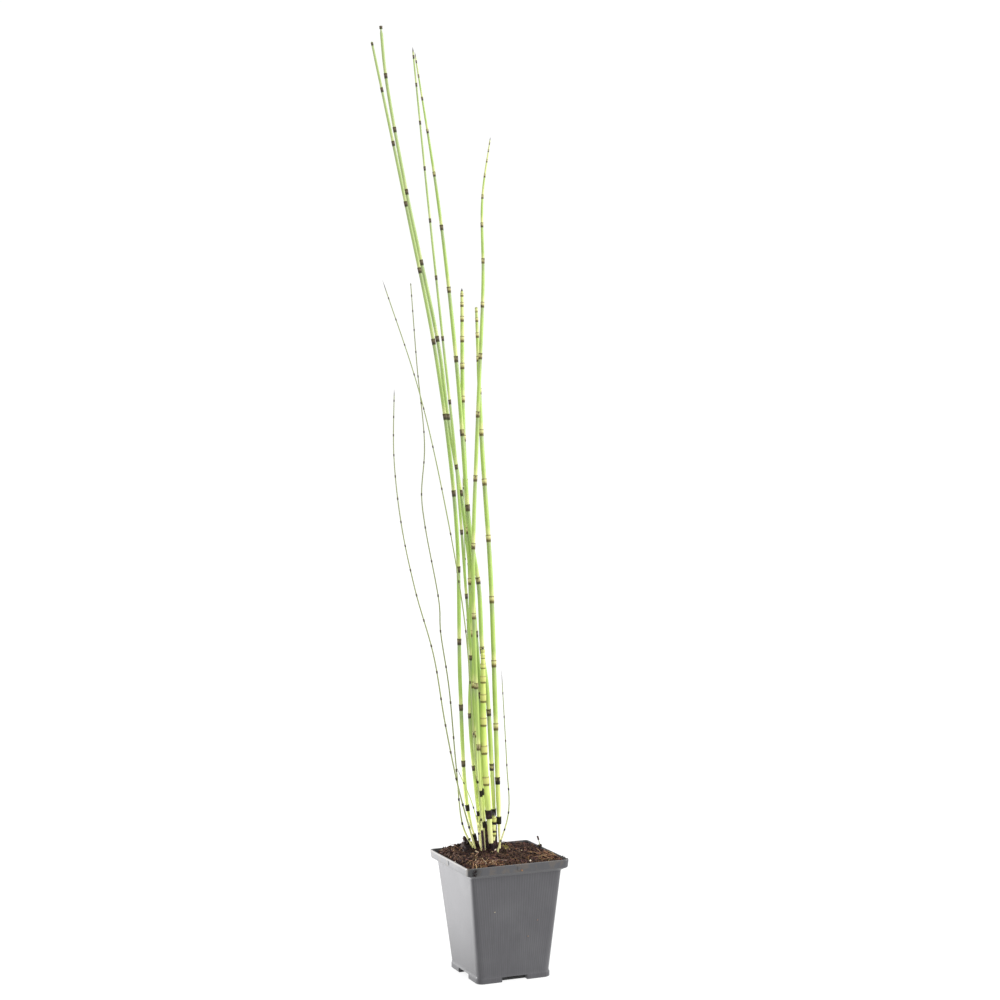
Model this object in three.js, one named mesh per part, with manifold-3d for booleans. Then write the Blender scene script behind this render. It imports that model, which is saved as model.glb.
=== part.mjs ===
// A horsetail plant growing in a square nursery pot. Millimetres, +Z up.
// The origin is the centre of the pot's flat underside, and the pot's walls face along X and Y.
import * as THREE from "three";
import { mergeVertices } from "three/addons/utils/BufferGeometryUtils.js";
import Module from "manifold-3d";

const wasm = await Module();
wasm.setup();

// ---- Driving dimensions ----
const GAP = 0.3; // clearance between pieces that touch in the real plant

const POT_HEIGHT = 100;
const RIM_SIDE = 91.6;
const COLLAR_BOTTOM = 93.4; // the wider band under the rim reaches down to here
const BODY_TOP_SIDE = 81.8;
const BODY_BOTTOM_SIDE = 65.2;
const FOOT_SIDE = 66.4; // the slightly wider band the pot stands on
const FOOT_HEIGHT = 4.6;
const WALL = 1.2;
const FLOOR = 1.5;
const RIM_CORNER = 3.5; // radius of the upright corners at the rim and at the foot
const FOOT_CORNER = 5.5;
const COLLAR_SLOPE = 2.8; // how far down the collar's sloping underside meets the body
const EDGE = 0.6; // the small bevel on the foot and the rim
const DRAIN_WIDTH = 23; // the notch at the middle of each bottom edge
const DRAIN_HEIGHT = 4.2;
const DRAIN_DEPTH = 6;
const SLOT_WIDTH = 11.5; // the slot from the notch into the pot
const SLOT_HEIGHT = 1.8;
const SLOT_Z = 2.6;

const SOIL_EDGE_Z = 96;
const MOUND_HEIGHT = 10;
const MOUND_SPREAD = 32;
const MOUND_X = -16;
const MOUND_Y = 22;
const MOUND_EDGE = 12; // how steeply it ends at the pot's wall

const BURY = 18; // how far a stem goes down into the soil
const SHEATH_HEIGHT = 1.2; // a sheath is this high, plus a share of the stem's thickness
const SHEATH_SHARE = 1.25;

// Each stem: its route from the soil to the tip, how many internodes it has, where the longest
// internode lies (0 at the tip, 1 at the foot), how long the ones at the tip and at the foot are
// next to it, how late they rise and how soon they fall, the radius at foot and tip, and how late
// up the stem it begins to taper.
const STEMS = {
  stem_a: {
    route: [
      [-9.5, 3.5, 106],
      [-10.5, 8.5, 150],
      [-9.5, 15, 247],
      [-16.5, 28, 388],
      [-26.5, 37.5, 473],
      [-31, 43, 528],
      [-53, 61, 668],
      [-66, 72, 766],
      [-68.5, 75.5, 808],
    ],
    internodes: 14,
    peak: 0.35,
    tipShare: 0.64,
    footShare: 0.28,
    rise: 1.7,
    fall: 1,
    radii: [1.75, 1.3],
    fullness: 1.8,
    tip: "broken",
  },
  stem_b: {
    route: [
      [-16, 8, 106],
      [-24, 9.5, 140],
      [-29.5, 8, 242],
      [-31, 8, 380],
      [-44, 14, 516],
      [-66, 26, 652],
      [-88, 42, 786],
    ],
    internodes: 14,
    peak: 0.48,
    tipShare: 0.63,
    footShare: 0.14,
    rise: 1.06,
    fall: 0.82,
    radii: [1.65, 1],
    fullness: 3.5,
    tip: "broken",
  },
  stem_c: {
    route: [
      [-13.5, 4.5, 106],
      [-24, 1.5, 217],
      [-23, -0.5, 268],
      [-27, -1, 330],
      [-34.5, -1.5, 436],
      [-44, 2, 544],
      [-54.5, 6, 666],
      [-62.5, 12, 778],
    ],
    internodes: 16,
    peak: 0.59,
    tipShare: 0.15,
    footShare: 0.54,
    rise: 0.65,
    fall: 0.7,
    radii: [1.25, 0.7],
    fullness: 2.4,
    tip: "cone",
  },
  stem_d: {
    route: [
      [0.5, 8, 104],
      [-5, 8.5, 240],
      [-8.5, 9.5, 271],
      [-10.5, 10.5, 327],
      [-17, 12.5, 374],
      [-25.5, 15.5, 510],
      [-37.5, 21, 645],
      [-54, 30.5, 778],
    ],
    internodes: 16,
    peak: 0.6,
    tipShare: 0.13,
    footShare: 0.48,
    rise: 1.51,
    fall: 1.04,
    radii: [1.85, 0.5],
    fullness: 4,
    tip: "cone",
  },
  stem_e: {
    route: [
      [-12.2, -0.6, 106],
      [-16, -1.5, 150],
      [-19, -3.5, 224],
      [-22, -6.5, 344],
      [-17, -8, 464],
      [-10, -7.5, 584],
      [-8.5, -4.5, 652],
      [-0.5, -4.5, 704],
    ],
    internodes: 18,
    peak: 0.75,
    tipShare: 0.09,
    footShare: 0.35,
    rise: 1.96,
    fall: 1.83,
    radii: [1.6, 0.4],
    fullness: 7,
    tip: "cone",
  },
  stem_f: {
    route: [
      [-11.5, 13, 106],
      [-15.5, 13.5, 225],
      [-16.5, 15.7, 344],
      [-18.5, 21, 462],
      [-16, 26.5, 580],
    ],
    internodes: 16,
    peak: 0.68,
    tipShare: 0.13,
    footShare: 0.52,
    rise: 1.48,
    fall: 0.59,
    radii: [1.8, 1.2],
    fullness: 12,
    tip: "cone",
  },
  stem_g: {
    route: [
      [2.5, 3, 104],
      [2.5, 9, 220],
      [3, 17, 336],
      [2, 31, 452],
      [5, 47, 566],
    ],
    internodes: 15,
    peak: 0.75,
    tipShare: 0.02,
    footShare: 0.44,
    rise: 1.75,
    fall: 1.41,
    radii: [1.97, 1.15],
    fullness: 6,
    tip: "cone",
  },
  stem_h: {
    route: [
      [-14.5, -3, 104],
      [-23.5, -7, 202],
      [-31, -8.5, 299],
      [-45, -3.5, 396],
      [-63.5, 5.5, 492],
      [-88.5, 22, 585],
    ],
    internodes: 15,
    peak: 0.81,
    tipShare: 0.36,
    footShare: 0.64,
    rise: 1.1,
    fall: 2.1,
    radii: [0.65, 0.4],
    fullness: 1,
    tip: "cone",
  },
  stem_i: {
    route: [
      [-20.5, 7, 106],
      [-27, 13, 124],
      [-29, 21.5, 172],
      [-30.5, 32.5, 240],
      [-35, 39.5, 289],
      [-35, 41, 310],
      [-44, 49.5, 378],
      [-46, 51.5, 404],
      [-43, 50.5, 447],
      [-48, 53, 516],
      [-53, 52, 586],
    ],
    internodes: 22,
    peak: 0.7,
    tipShare: 0.05,
    footShare: 0.24,
    rise: 0.6,
    fall: 0.8,
    radii: [0.65, 0.4],
    fullness: 1,
    tip: "cone",
  },
  stem_j: {
    route: [
      [-19.5, 4.5, 106],
      [-35, 2, 160],
      [-46, 2, 215],
      [-55.5, 1.5, 272],
      [-69, 6.5, 326],
      [-79, 11, 382],
      [-83, 15.5, 438],
      [-80.5, 19.5, 494],
    ],
    internodes: 20,
    peak: 0.88,
    tipShare: 0.4,
    footShare: 0.84,
    rise: 0.5,
    fall: 3,
    radii: [0.7, 0.4],
    fullness: 1,
    tip: "cone",
  },
  stem_n: {
    route: [
      [-2.5, -4.5, 104],
      [5, -11.5, 137],
      [3, -14, 177],
      [0.5, -11, 258],
    ],
    internodes: 9,
    peak: 0.58,
    tipShare: 0.96,
    footShare: 0.45,
    rise: 2,
    fall: 3,
    radii: [0.55, 0.35],
    fullness: 1,
    tip: "cone",
  },
  wisp_p: {
    route: [
      [-15.5, 0, 105],
      [-22, 0, 141],
      [-35.5, 3, 176],
    ],
    internodes: 4,
    peak: 0.5,
    tipShare: 0.6,
    footShare: 0.6,
    rise: 1.3,
    fall: 1,
    radii: [0.55, 0.35],
    fullness: 1,
    tip: "cone",
  },
  wisp_q: {
    route: [
      [-8, 16.5, 106],
      [-12.5, 26.5, 210],
      [-13, 33.5, 315],
      [-13, 38, 420],
    ],
    internodes: 8,
    peak: 0.67,
    tipShare: 0.16,
    footShare: 0.35,
    rise: 1.3,
    fall: 1,
    radii: [0.6, 0.4],
    fullness: 1,
    tip: "cone",
  },
  shoot_l: {
    route: [
      [-7.5, -3.2, 104],
      [-12.5, -2, 190],
      [-11.5, 0.5, 276],
    ],
    internodes: 10,
    peak: 1,
    tipShare: 0.13,
    footShare: 1,
    rise: 1.6,
    fall: 1,
    radii: [2.5, 1.5],
    fullness: 7,
    tip: "cone",
  },
  shoot_o: {
    route: [
      [-4.5, 2.5, 104],
      [-3.5, 2, 120],
      [-3, 2, 136],
    ],
    internodes: 3,
    peak: 1,
    tipShare: 0.7,
    footShare: 1,
    rise: 1.3,
    fall: 1,
    radii: [2.35, 1.8],
    fullness: 4,
    tip: "cone",
  },
  stub_s: {
    route: [
      [-24, 13, 102],
      [-24.5, 13, 108],
      [-25.5, 14, 114],
    ],
    internodes: 2,
    peak: 1,
    tipShare: 0.6,
    footShare: 1,
    rise: 1.3,
    fall: 1,
    radii: [3, 1.5],
    fullness: 1,
    tip: "broken",
  },
  sprout_w: {
    route: [
      [40, 5.5, 97],
      [40.5, 6, 104],
      [39.5, 8.5, 111],
    ],
    internodes: 2,
    peak: 1,
    tipShare: 0.3,
    footShare: 1,
    rise: 1.3,
    fall: 1,
    radii: [0.4, 0.35],
    fullness: 1,
    tip: "cone",
    bury: 4,
  },
};
const WIRY_RADIUS = 0.75; // a stem thinner than this at the foot has few sides and round joints
const WIRY_SIDES = 5;
const THICK_SIDES = 8;

const COLOURS = {
  pot: 0x54565a,
  soil: 0x3d2b20,
  green: 0x7cb83c,
  young: 0xb4c84a,
  dead: 0x35251d,
};

// ---- Shapes from rings of points ----

// A closed surface through rings with equal numbers of points, counter-clockwise seen from above,
// from the first ring to the last, with a flat face over each end.
function loft(rings) {
  const count = rings[0].length;
  const positions = rings.flat().flatMap((point) => [point.x, point.y, point.z]);
  const indices = [];
  for (let ring = 0; ring + 1 < rings.length; ring++) {
    for (let i = 0; i < count; i++) {
      const a = ring * count + i;
      const b = ring * count + ((i + 1) % count);
      indices.push(a, b, b + count);
      indices.push(a, b + count, a + count);
    }
  }
  const last = (rings.length - 1) * count;
  for (let i = 1; i + 1 < count; i++) {
    indices.push(0, i + 1, i);
    indices.push(last, last + i, last + i + 1);
  }
  const geometry = new THREE.BufferGeometry();
  geometry.setAttribute("position", new THREE.Float32BufferAttribute(positions, 3));
  geometry.setIndex(indices);
  return geometry;
}

function solidOf(geometry) {
  const bare = geometry.clone();
  bare.deleteAttribute("normal");
  bare.deleteAttribute("uv");
  const merged = mergeVertices(bare, 1e-4);
  return new wasm.Manifold(
    new wasm.Mesh({
      numProp: 3,
      vertProperties: merged.attributes.position.array,
      triVerts: new Uint32Array(merged.index.array),
    }),
  );
}

function geometryOf(solid) {
  const mesh = solid.getMesh();
  const geometry = new THREE.BufferGeometry();
  geometry.setAttribute("position", new THREE.BufferAttribute(mesh.vertProperties, 3));
  geometry.setIndex(new THREE.BufferAttribute(mesh.triVerts, 1));
  return geometry;
}

// The radius of the pot's upright corners.
function cornerAt(height) {
  return THREE.MathUtils.lerp(FOOT_CORNER, RIM_CORNER, height / POT_HEIGHT);
}

// The outline of a square with round corners at one height.
function squareRing(side, corner, height, cornerSteps, sideSteps = 1) {
  const reach = side / 2 - corner;
  const points = [];
  for (let quarter = 0; quarter < 4; quarter++) {
    const start = (quarter * Math.PI) / 2;
    const centre = new THREE.Vector2(reach, reach).rotateAround(new THREE.Vector2(), start);
    for (let step = 0; step <= cornerSteps; step++) {
      const angle = start + (step / cornerSteps) * (Math.PI / 2);
      points.push(
        new THREE.Vector3(
          centre.x + corner * Math.cos(angle),
          centre.y + corner * Math.sin(angle),
          height,
        ),
      );
    }
    const corner0 = points.at(-1).clone();
    const along = new THREE.Vector3(-Math.sin(start), Math.cos(start), 0);
    const across = along.clone().applyAxisAngle(new THREE.Vector3(0, 0, 1), Math.PI / 2);
    for (let step = 1; step < sideSteps; step++) {
      points.push(corner0.clone().addScaledVector(across, (2 * reach * step) / sideSteps));
    }
  }
  return points;
}

// ---- Pot ----
function potSolid() {
  const CORNER_STEPS = 4;
  const shoulder = COLLAR_BOTTOM - COLLAR_SLOPE;
  const outside = [
    [FOOT_SIDE - 2 * EDGE, 0],
    [FOOT_SIDE, EDGE],
    [FOOT_SIDE, FOOT_HEIGHT],
    [BODY_BOTTOM_SIDE, FOOT_HEIGHT + EDGE],
    [BODY_TOP_SIDE, shoulder],
    [RIM_SIDE - 2 * EDGE, COLLAR_BOTTOM],
    [RIM_SIDE, POT_HEIGHT - EDGE],
    [RIM_SIDE - EDGE, POT_HEIGHT],
  ];
  const inside = [
    [RIM_SIDE - 2 * WALL + EDGE, POT_HEIGHT],
    [RIM_SIDE - 2 * WALL, POT_HEIGHT - EDGE],
    [RIM_SIDE - 2 * WALL - 2 * EDGE, COLLAR_BOTTOM + EDGE],
    [BODY_TOP_SIDE - 2 * WALL, shoulder + EDGE],
    [BODY_BOTTOM_SIDE - 2 * WALL, FLOOR],
  ];
  const rings = [
    ...outside.map(([side, z]) => squareRing(side, cornerAt(z), z, CORNER_STEPS)),
    ...inside.map(([side, z]) => squareRing(side, cornerAt(z) - WALL, z, CORNER_STEPS)),
  ];
  let solid = solidOf(loft(rings));
  for (let quarter = 0; quarter < 4; quarter++) {
    const housing = drainBox(quarter, WALL, EDGE, WALL);
    const notch = drainBox(quarter, 0, -FLOOR, 0);
    const slot = new THREE.BoxGeometry(SLOT_WIDTH, DRAIN_DEPTH, SLOT_HEIGHT);
    slot.translate(0, -(FOOT_SIDE / 2 - DRAIN_DEPTH - WALL), SLOT_Z);
    slot.rotateZ((quarter * Math.PI) / 2);
    solid = solid.add(solidOf(housing)).subtract(solidOf(notch)).subtract(solidOf(slot));
  }
  return solid;
}

// A box round the drain notch of one side: grown by margin, starting at bottom, inset from outside.
function drainBox(quarter, margin, bottom, inset) {
  const top = DRAIN_HEIGHT + margin;
  const outer = inset > 0 ? FOOT_SIDE / 2 - inset : FOOT_SIDE;
  const inner = FOOT_SIDE / 2 - DRAIN_DEPTH - margin;
  const box = new THREE.BoxGeometry(DRAIN_WIDTH + 2 * margin, outer - inner, top - bottom);
  box.translate(0, -(outer + inner) / 2, (top + bottom) / 2);
  return box.rotateZ((quarter * Math.PI) / 2);
}

// ---- Soil ----

// The soil's surface: a low mound round the stems, falling to the rim, with small crumbs.
function soilHeight(x, y) {
  const away = (x - MOUND_X) ** 2 + (y - MOUND_Y) ** 2;
  const edge = Math.max(Math.abs(x), Math.abs(y)) / (RIM_SIDE / 2 - 1);
  const mound = MOUND_HEIGHT * Math.exp(-away / (2 * MOUND_SPREAD ** 2)) * (1 - edge ** MOUND_EDGE);
  const crumbs = 0.5 * Math.sin(0.62 * x + 1.3) * Math.cos(0.55 * y) + 0.4 * Math.sin(x * 1.1 - y);
  return SOIL_EDGE_Z + mound + crumbs;
}

function soilSolid() {
  const CORNER_STEPS = 2;
  const SIDE_STEPS = 7;
  const SURFACE_RINGS = 13;
  const inside = 2 * (WALL + GAP);
  const corner = RIM_CORNER - WALL;
  const collarSide = RIM_SIDE - inside - 2 * EDGE;
  const walls = [
    [BODY_BOTTOM_SIDE - inside, FLOOR + GAP],
    [BODY_TOP_SIDE - inside, COLLAR_BOTTOM - COLLAR_SLOPE / 2],
    [collarSide, COLLAR_BOTTOM + COLLAR_SLOPE / 2],
  ];
  const rings = walls.map(([side, z]) => squareRing(side, cornerAt(z) - WALL, z, CORNER_STEPS, SIDE_STEPS));
  for (let ring = 0; ring < SURFACE_RINGS; ring++) {
    const share = 1 - ring / SURFACE_RINGS;
    const points = squareRing(collarSide * share, corner * share, 0, CORNER_STEPS, SIDE_STEPS);
    for (const point of points) {
      point.x += MOUND_X * (1 - share);
      point.y += MOUND_Y * (1 - share);
      point.z = soilHeight(point.x, point.y);
    }
    rings.push(points);
  }
  let solid = solidOf(loft(rings));
  for (let quarter = 0; quarter < 4; quarter++) {
    const clearance = WALL + GAP;
    solid = solid.subtract(solidOf(drainBox(quarter, clearance, -1, 0)));
  }
  for (const stem of Object.values(STEMS)) {
    solid = solid.subtract(holeSolid(stem));
  }
  return solid;
}

// ---- Stems ----
function routeOf(stem) {
  const points = stem.route.map((point) => new THREE.Vector3(...point));
  return new THREE.CatmullRomCurve3(points, false, "centripetal");
}

function sidesOf(stem) {
  return stem.radii[0] < WIRY_RADIUS ? WIRY_SIDES : THICK_SIDES;
}

// The lengths of a stem's internodes, from the tip down. They lengthen to the longest one and
// shorten again towards the foot.
function internodeLengths(stem, length) {
  const last = stem.internodes - 1;
  const peak = stem.peak * last;
  const shares = [];
  for (let i = 0; i <= last; i++) {
    if (i <= peak) {
      const rise = Math.sin((Math.PI / 2) * (i / peak)) ** stem.rise;
      shares.push(THREE.MathUtils.lerp(stem.tipShare, 1, rise));
    } else {
      const fall = Math.cos((Math.PI / 2) * ((i - peak) / (last - peak))) ** stem.fall;
      shares.push(THREE.MathUtils.lerp(stem.footShare, 1, fall));
    }
  }
  const total = shares.reduce((sum, share) => sum + share);
  return shares.map((share) => (share / total) * length);
}

function buryOf(stem) {
  return stem.bury ?? BURY;
}

function radiusAt(stem, share) {
  const [foot, tip] = stem.radii;
  return THREE.MathUtils.lerp(foot, tip, share ** stem.fullness);
}

// One ring of a stem, at a distance along its route. Below the foot it goes straight down.
function stemRing(stem, curve, length, distance, radius) {
  const above = distance > 0;
  const share = above ? distance / length : 0;
  const tangent = above ? curve.getTangentAt(share) : new THREE.Vector3(0, 0, 1);
  const centre = curve.getPointAt(share);
  if (!above) {
    centre.z += distance;
  }
  const side = new THREE.Vector3(0, 1, 0).cross(tangent).normalize();
  const other = tangent.clone().cross(side);
  const sides = sidesOf(stem);
  return Array.from({ length: sides }, (unused, i) => {
    const angle = (2 * Math.PI * i) / sides;
    return centre
      .clone()
      .addScaledVector(side, radius * Math.cos(angle))
      .addScaledVector(other, radius * Math.sin(angle));
  });
}

// The stem with a sheath grown round each joint: a cup that widens upwards and ends in a step.
// A wiry stem's sheaths are small swellings instead.
function stemGeometry(stem) {
  const curve = routeOf(stem);
  const length = curve.getLength();
  const lengths = internodeLengths(stem, length);
  const wiry = stem.radii[0] < WIRY_RADIUS;
  const stations = [];
  let distance = length;
  for (let i = 0; i + 1 < lengths.length; i++) {
    distance -= lengths[i];
    const radius = radiusAt(stem, distance / length);
    const shortest = Math.min(lengths[i], lengths[i + 1]);
    const sheath = Math.min(SHEATH_HEIGHT + SHEATH_SHARE * 2 * radius, 0.5 * shortest);
    const top = distance + sheath / 2;
    const bottom = distance - sheath / 2;
    if (wiry) {
      stations.push([top, radius], [distance, 1.4 * radius], [bottom, radius]);
    } else {
      stations.push([top + 0.2, 0.98 * radius], [top, 1.16 * radius]);
      stations.push([bottom + 0.3, 1.08 * radius], [bottom, radius]);
    }
  }
  stations.reverse();
  const foot = stem.radii[0];
  const end = stem.tip === "cone" ? 0.25 * stem.radii[1] : stem.radii[1];
  const all = [[-buryOf(stem), foot], [0, foot], ...stations, [length, end]];
  return loft(all.map(([at, radius]) => stemRing(stem, curve, length, at, radius)));
}

// The plain hole that a stem stands in, a little wider than the stem.
function holeSolid(stem) {
  const ABOVE = 5;
  const curve = routeOf(stem);
  const length = curve.getLength();
  const radius = stem.radii[0] + GAP / Math.cos(Math.PI / sidesOf(stem));
  const low = stemRing(stem, curve, length, -buryOf(stem) - GAP, radius);
  const high = stemRing(stem, curve, length, 0, radius);
  for (const point of high) {
    point.z += ABOVE;
  }
  return solidOf(loft([low, high]));
}

// ---- The plant in its pot ----
function piece(name, geometry, color, roughness) {
  const material = new THREE.MeshStandardMaterial({ color, roughness, metalness: 0 });
  const mesh = new THREE.Mesh(geometry, material);
  mesh.name = name;
  return mesh;
}

const group = new THREE.Group();
group.add(piece("pot", geometryOf(potSolid()), COLOURS.pot, 0.55));
group.add(piece("soil", geometryOf(soilSolid()), COLOURS.soil, 0.95));
for (const [name, stem] of Object.entries(STEMS)) {
  const young = name.startsWith("shoot");
  const dead = name.startsWith("stub");
  const colour = young ? COLOURS.young : dead ? COLOURS.dead : COLOURS.green;
  group.add(piece(name, stemGeometry(stem), colour, 0.5));
}

export default group;
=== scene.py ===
import bisect
import math
import random

import bmesh
import bpy
from mathutils import Matrix, Vector, noise


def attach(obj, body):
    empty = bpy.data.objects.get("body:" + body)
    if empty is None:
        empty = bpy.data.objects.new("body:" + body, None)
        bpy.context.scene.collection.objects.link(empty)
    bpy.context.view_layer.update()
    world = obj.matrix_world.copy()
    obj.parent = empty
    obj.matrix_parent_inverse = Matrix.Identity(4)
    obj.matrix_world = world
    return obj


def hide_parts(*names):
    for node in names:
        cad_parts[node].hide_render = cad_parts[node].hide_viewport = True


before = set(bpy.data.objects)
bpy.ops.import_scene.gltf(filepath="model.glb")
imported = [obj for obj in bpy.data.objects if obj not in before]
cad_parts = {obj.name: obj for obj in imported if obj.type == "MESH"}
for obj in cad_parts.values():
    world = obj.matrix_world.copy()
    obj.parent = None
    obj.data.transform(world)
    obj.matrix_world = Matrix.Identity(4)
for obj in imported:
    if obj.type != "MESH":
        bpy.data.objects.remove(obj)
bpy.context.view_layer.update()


# ---- Studio ----
# A white light table under an even white sky, a large softbox in front on the right for the
# stems, and a lamp with a snoot that lights the left side of the pot. The lens is a long one.
class Wire:
    """A value in a node tree. An expression on it adds the Math nodes that work it out."""

    def __init__(self, finish, socket):
        self.finish = finish
        self.socket = socket

    def maths(self, operation, *values):
        return self.finish.add("Math", {"operation": operation}, dict(enumerate([self, *values])))

    def __add__(self, other):
        return self.maths("ADD", other)

    def __sub__(self, other):
        return self.maths("SUBTRACT", other)

    def __rsub__(self, other):
        return self.finish.add("Math", {"operation": "SUBTRACT"}, {0: other, 1: self})

    def __mul__(self, other):
        return self.maths("MULTIPLY", other)

    def __pow__(self, other):
        return self.maths("POWER", other)

    __radd__ = __add__
    __rmul__ = __mul__

    def rise(self, low, high):
        """0 up to low and 1 from high, with a smooth slope between."""
        sockets = {"Value": self, "From Min": low, "From Max": high}
        return self.finish.add("MapRange", {"interpolation_type": "SMOOTHSTEP"}, sockets)


class Finish:
    """A material or sky in the making. Its add method puts in a node of any kind."""

    def __init__(self, block):
        self.block = block
        block.use_nodes = True
        self.nodes = block.node_tree.nodes

    def add(self, kind, settings, sockets, output=0):
        node = self.nodes.new("ShaderNode" + kind)
        for name, value in settings.items():
            if name == "stops":
                self.set_stops(node.color_ramp, value)
            else:
                setattr(node, name, value)
        self.connect(node, sockets)
        return Wire(self, node.outputs[output])

    def connect(self, node, sockets):
        for name, value in sockets.items():
            socket = node.inputs[name]
            if isinstance(value, Wire):
                self.block.node_tree.links.new(value.socket, socket)
            elif socket.type == "RGBA":
                socket.default_value = (*value, 1)
            else:
                socket.default_value = value

    def set_stops(self, ramp, stops):
        while len(ramp.elements) < len(stops):
            ramp.elements.new(0.5)
        for element, (place, colour) in zip(ramp.elements, stops):
            element.position = place
            element.color = (*colour, 1)

    def ramp(self, share, *stops):
        return self.add("ValToRGB", {"stops": stops}, {"Fac": share})

    def tint(self, share, first, second, blend="MIX"):
        settings = {"data_type": "RGBA", "blend_type": blend}
        return self.add("Mix", settings, {0: share, 6: first, 7: second}, 2)

    def axis(self, name):
        place = self.add("TexCoord", {}, {}, "Object")
        return self.add("SeparateXYZ", {}, {"Vector": place}, name)

    def clouds(self, grain, detail, stretch=(1, 1, 1)):
        """Soft noise about 0.5, in patches of a grain's size in metres, longer where stretched."""
        place = self.add("TexCoord", {}, {}, "Object")
        scale = [1 / (grain * along) for along in stretch]
        place = self.add("Mapping", {}, {"Vector": place, "Scale": scale})
        return self.add("TexNoise", {}, {"Vector": place, "Scale": 1, "Detail": detail})

    def surface(self, colour, roughness, relief=None, depth=0, **constants):
        """Feeds the shader. The relief is a height from 0 to 1 that stands for a depth."""
        sockets = {"Base Color": colour, "Roughness": roughness, **constants}
        if relief is not None:
            sockets["Normal"] = self.add("Bump", {}, {"Height": relief, "Distance": depth})
        self.connect(self.nodes["Principled BSDF"], sockets)
        return self.block


bpy.ops.object.select_all(action="DESELECT")
bpy.ops.object.camera_add(
    location=(-0.6149, -1.5268, 0.4437),
    rotation=(math.radians(88.48), math.radians(0.76), math.radians(-22.14)),
)
camera = bpy.context.object
camera.data.sensor_width = 36
camera.data.lens = 70.3
bpy.context.scene.camera = camera
bpy.context.scene.view_settings.view_transform = "Standard"

bpy.ops.mesh.primitive_plane_add(size=16)
floor = bpy.context.object
floor.name = "floor"
paper = Finish(bpy.data.materials.new("floor_paper"))
glow = {"Emission Color": (1, 1, 1), "Emission Strength": 0.88}
floor.data.materials.append(paper.surface((0.15, 0.15, 0.15), 0.9, **glow))

sky = Finish(bpy.data.worlds.new("studio_sky"))
sky.connect(sky.nodes["Background"], {"Color": (1, 1, 1), "Strength": 1.03})
bpy.context.scene.world = sky.block


def lamp(kind, place, aim, **settings):
    """A light at a place, turned towards the point that it is aimed at."""
    turn = (Vector(aim) - Vector(place)).to_track_quat("-Z", "Y").to_euler()
    bpy.ops.object.light_add(type=kind, location=place, rotation=turn)
    light = bpy.context.object
    light.visible_camera = False
    for name, value in settings.items():
        setattr(light.data, name, value)


lamp("AREA", (1.5, -0.9, 1.0), (0, 0, 0.4), energy=32, size=0.9)
snoot = {"spot_size": 0.15, "spot_blend": 0.95, "shadow_soft_size": 0.04}
lamp("SPOT", (-1.2, 0.95, 0.08), (-0.045, 0.035, 0.09), energy=225, **snoot)


# ---- Pot ----
# A tapered square pot moulded in dark grey plastic: a foot band, finely ribbed walls and a
# wider collar under the rim, with a small nub on each side and four drain notches below.
MM = 0.001  # meshes are given in millimetres, and places in materials in metres
FOOT_SIDE = 66.4
BODY_BOTTOM = 65.2
BODY_TOP = 81.8
RIM_SIDE = 91.6
POT_HEIGHT = 100
FOOT_CORNER = 5.5
RIM_CORNER = 3.5
WALL = 1.2
BASE_SIDE = FOOT_SIDE - 1.2  # the flat underside, inside the foot's bevelled edge
BASE_THICKNESS = 1.5
RIBS_FOOT = (BODY_BOTTOM + 0.3, 7)  # the side and the height at which the ribs begin
RIBS_HEAD = (BODY_TOP - 0.3, 89.2)
SIDE_PARTS = 64  # a rib takes two
RIB = 0.16
NUB = 0.35
NOTCH = (23, 12, 8.4)
NOTCH_HOUSING = (25.4, 6, 5)
DRAIN_SLOT = (11.5, 6, 1.8)


def pick(piece, kind, test):
    """Selects, in edit mode, only the points, edges or faces that pass a test."""
    bpy.ops.mesh.select_mode(type=kind)
    bpy.ops.mesh.select_all(action="DESELECT")
    shape = bmesh.from_edit_mesh(piece.data)
    for part in {"VERT": shape.verts, "EDGE": shape.edges, "FACE": shape.faces}[kind]:
        if test(part):
            part.select_set(True)
    shape.select_flush_mode()
    bmesh.update_edit_mesh(piece.data)


def climb(stations, side, height):
    """Extrudes the selected face through squares of other sides, each at its height."""
    for next_side, next_height in stations:
        step = (0, 0, (next_height - height) * MM)
        bpy.ops.mesh.extrude_region_move(TRANSFORM_OT_translate={"value": step})
        scale = next_side / side
        middle = (0, 0, next_height * MM)
        bpy.ops.transform.resize(value=(scale, scale, 1), center_override=middle)
        side, height = next_side, next_height


def corner_at(height):
    return FOOT_CORNER + (RIM_CORNER - FOOT_CORNER) * height / POT_HEIGHT


def climb_pot(stations, side, height, inset=0):
    """The same up the pot, where the corners have a radius of their own at each height."""
    corner = corner_at(height)
    for next_side, next_height in stations:
        climb([(next_side, next_height)], side, height)
        before = corner * next_side / side
        corner = corner_at(next_height) - inset
        half = next_side / 2
        shape = bmesh.from_edit_mesh(pot.data)
        for point in (point for point in shape.verts if point.select):
            for axis in (0, 1):
                reach = abs(point.co[axis]) / MM
                if reach > half - before:
                    reach = half - corner + (reach - half + before) * corner / before
                else:
                    reach *= (half - corner) / (half - before)
                point.co[axis] = math.copysign(reach * MM, point.co[axis])
        bmesh.update_edit_mesh(pot.data)
        side, height = next_side, next_height


def push_ribs(side, height, reach):
    """Moves every second point of the top face's straight sides out, and picks that face.

    A reach below 0 moves the points in.
    """
    flat = side / 2 - corner_at(height)

    def is_level(point):
        return abs(point.co.z / MM - height) < 0.01

    def is_rib(point):
        across, along = sorted((abs(point.co.x) / MM, abs(point.co.y) / MM), reverse=True)
        part = round((along + flat) / (2 * flat) * SIDE_PARTS)
        return is_level(point) and across > side / 2 - 0.3 and part % 2

    pick(pot, "VERT", is_rib)
    scale = 1 + 2 * reach / side
    middle = (0, 0, height * MM)
    bpy.ops.transform.resize(value=(scale, scale, 1), center_override=middle)
    pick(pot, "FACE", lambda face: all(is_level(point) for point in face.verts))


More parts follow.
